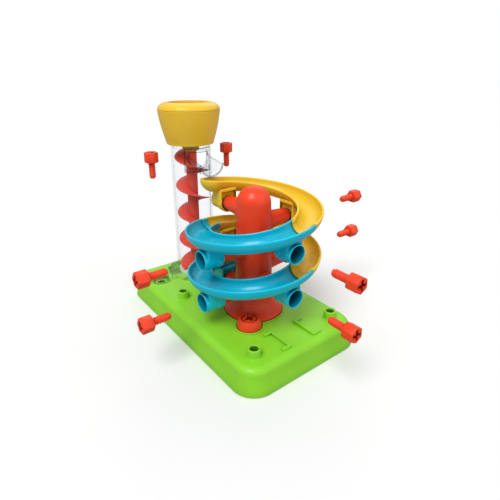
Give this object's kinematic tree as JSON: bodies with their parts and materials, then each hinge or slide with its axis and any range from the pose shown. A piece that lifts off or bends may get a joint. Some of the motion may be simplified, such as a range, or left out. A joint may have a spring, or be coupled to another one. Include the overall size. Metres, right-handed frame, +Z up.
{
  "type": "marble run",
  "caption": "Toy marble run: hand-turned screw lift in a clear tube feeds a two-turn spiral track screwed to a tower on a base.",
  "frame": {"origin": "centre of the base's underside, at table height", "axes": "+X from the lift tube towards the tower along the base's long side, +Y along its short side, +Z up along the tower and lift axes"},
  "size_m": [0.2855, 0.2788, 0.225],
  "materials": {
    "green_plastic": "satin moulded plastic",
    "red_plastic": "satin moulded plastic",
    "blue_plastic": "glossy moulded plastic",
    "yellow_plastic": "glossy moulded plastic",
    "clear_plastic": "clear moulded plastic",
    "white_plastic": "satin moulded plastic",
    "steel": "bright zinc",
    "marble_glass": "polished glass"
  },
  "bodies": {
    "base": {"base_tray": "green_plastic", "tower_front_shell": "red_plastic", "tower_rear_shell": "red_plastic", "tower_case_screws": "steel", "upper_yellow_track": "yellow_plastic", "upper_blue_track": "blue_plastic", "lower_yellow_track": "yellow_plastic", "lower_blue_track": "blue_plastic", "lift_tube": "clear_plastic", "outlet_spout": "clear_plastic", "inlet_tray": "clear_plastic", "bottom_bearing": "white_plastic", "top_bush": "clear_plastic"},
    "lift_rotor": {"lift_screw": "red_plastic", "knob_bowl": "yellow_plastic", "knob_rim": "yellow_plastic", "knob_fixing_screw": "steel"},
    "left_upper_screw": {"left_upper_screw": "red_plastic"},
    "left_lower_screw": {"left_lower_screw": "red_plastic"},
    "right_upper_screw": {"right_upper_screw": "red_plastic"},
    "right_lower_screw": {"right_lower_screw": "red_plastic"},
    "rear_upper_screw": {"rear_upper_screw": "red_plastic"},
    "rear_lower_screw": {"rear_lower_screw": "red_plastic"},
    "tube_foot_screw_left": {"tube_foot_screw_left": "red_plastic"},
    "tube_foot_screw_right": {"tube_foot_screw_right": "red_plastic"},
    "tube_side_upper_screw": {"tube_side_upper_screw": "red_plastic"},
    "tube_side_middle_screw": {"tube_side_middle_screw": "red_plastic"},
    "tube_side_lower_screw": {"tube_side_lower_screw": "red_plastic"},
    "tower_foot_screw_front": {"tower_foot_screw_front": "red_plastic"},
    "tower_foot_screw_rear": {"tower_foot_screw_rear": "red_plastic"},
    "marble_at_lift": {"marble_at_lift": "marble_glass"},
    "marble_waiting": {"marble_waiting": "marble_glass"}
  },
  "joints": [
    {"name": "lift_turn", "type": "hinge", "parent": "base", "child": "lift_rotor", "pos_m": [-0.0795, 0, 0], "axis": [0, 0, 1], "continuous": true},
    {"name": "left_upper_screw_slide", "type": "slide", "parent": "base", "child": "left_upper_screw", "axis": [0, 1, 0], "range_m": [0, 0.0643]},
    {"name": "left_lower_screw_slide", "type": "slide", "parent": "base", "child": "left_lower_screw", "axis": [0, 1, 0], "range_m": [0, 0.0643]},
    {"name": "right_upper_screw_slide", "type": "slide", "parent": "base", "child": "right_upper_screw", "axis": [-1, 0, 0], "range_m": [0, 0.0715]},
    {"name": "right_lower_screw_slide", "type": "slide", "parent": "base", "child": "right_lower_screw", "axis": [-1, 0, 0], "range_m": [0, 0.0715]},
    {"name": "rear_upper_screw_slide", "type": "slide", "parent": "base", "child": "rear_upper_screw", "axis": [0, -1, 0], "range_m": [0, 0.0975]},
    {"name": "rear_lower_screw_slide", "type": "slide", "parent": "base", "child": "rear_lower_screw", "axis": [0, -1, 0], "range_m": [0, 0.0975]},
    {"name": "tube_foot_screw_left_slide", "type": "slide", "parent": "base", "child": "tube_foot_screw_left", "axis": [0, 0, -1], "range_m": [0, 0.1413]},
    {"name": "tube_foot_screw_right_slide", "type": "slide", "parent": "base", "child": "tube_foot_screw_right", "axis": [0, 0, -1], "range_m": [0, 0.1413]},
    {"name": "tube_side_upper_screw_slide", "type": "slide", "parent": "base", "child": "tube_side_upper_screw", "axis": [-1, 0, 0], "range_m": [0, 0.028]},
    {"name": "tube_side_middle_screw_slide", "type": "slide", "parent": "base", "child": "tube_side_middle_screw", "axis": [-1, 0, 0], "range_m": [0, 0.028]},
    {"name": "tube_side_lower_screw_slide", "type": "slide", "parent": "base", "child": "tube_side_lower_screw", "axis": [-1, 0, 0], "range_m": [0, 0.012]},
    {"name": "tower_foot_screw_front_slide", "type": "slide", "parent": "base", "child": "tower_foot_screw_front", "axis": [0, 0, 1], "range_m": [0, 0.028]},
    {"name": "tower_foot_screw_rear_slide", "type": "slide", "parent": "base", "child": "tower_foot_screw_rear", "axis": [0, 0, 1], "range_m": [0, 0.028]},
    {"name": "marble_at_lift_slide", "type": "slide", "parent": "base", "child": "marble_at_lift", "axis": [0.8657, 0.4947, 0.0757], "range_m": [0, 0.007]},
    {"name": "marble_waiting_slide", "type": "slide", "parent": "base", "child": "marble_waiting", "axis": [0.9871, 0.1348, 0.0864], "range_m": [-0.006, 0.012]}
  ]
}
